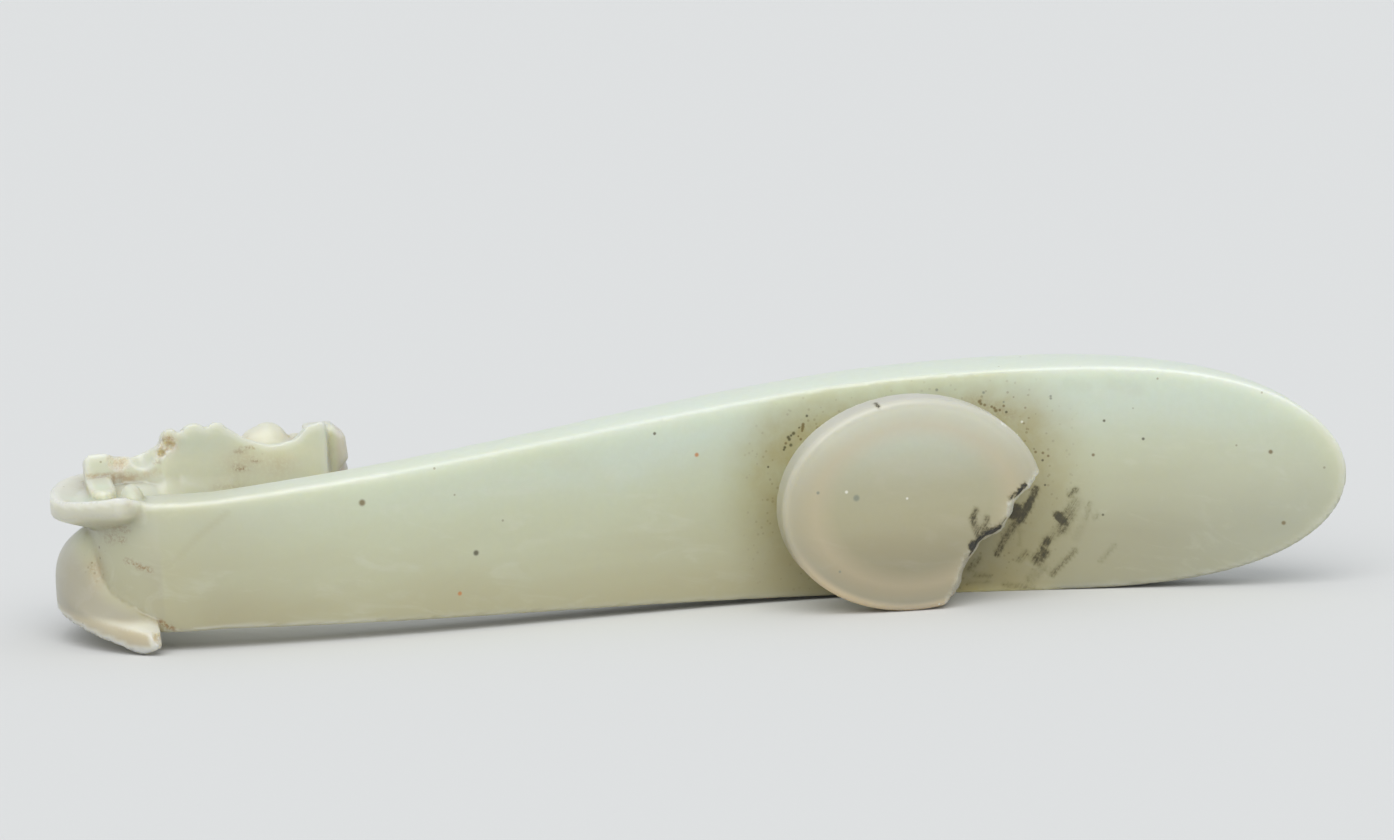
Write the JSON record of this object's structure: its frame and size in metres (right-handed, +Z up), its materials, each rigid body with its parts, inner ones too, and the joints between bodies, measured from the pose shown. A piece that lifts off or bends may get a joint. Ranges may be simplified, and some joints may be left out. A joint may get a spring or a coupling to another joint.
{
  "type": "belt hook",
  "caption": "Carved jade belt hook: a bowed, spoon-shaped shaft, a neck bent over into a small animal head, and an oval button on a stem, chipped on one side.",
  "frame": {"origin": "on the surface that the hook lies on, under the middle of the whole hook's box", "axes": "+X along the hook from the head to the broad end, +Y from the back with the button to the front, +Z up, across the hook. The hook lies on one long edge as in the picture, on the tip of a lock of mane, the button's rim and the shaft's edge, so the shaft is tipped a few degrees about X and Y."},
  "size_m": [0.1052, 0.0246, 0.0193],
  "materials": {
    "jade": "polished"
  },
  "bodies": {
    "root": {"shaft": "jade", "neck": "jade", "jaw": "jade", "muzzle": "jade", "lip": "jade", "brow_left": "jade", "brow_right": "jade", "horn_left": "jade", "horn_right": "jade", "mane_lock_left": "jade", "mane_lock_right": "jade", "button": "jade", "button_stem": "jade"}
  },
  "joints": []
}
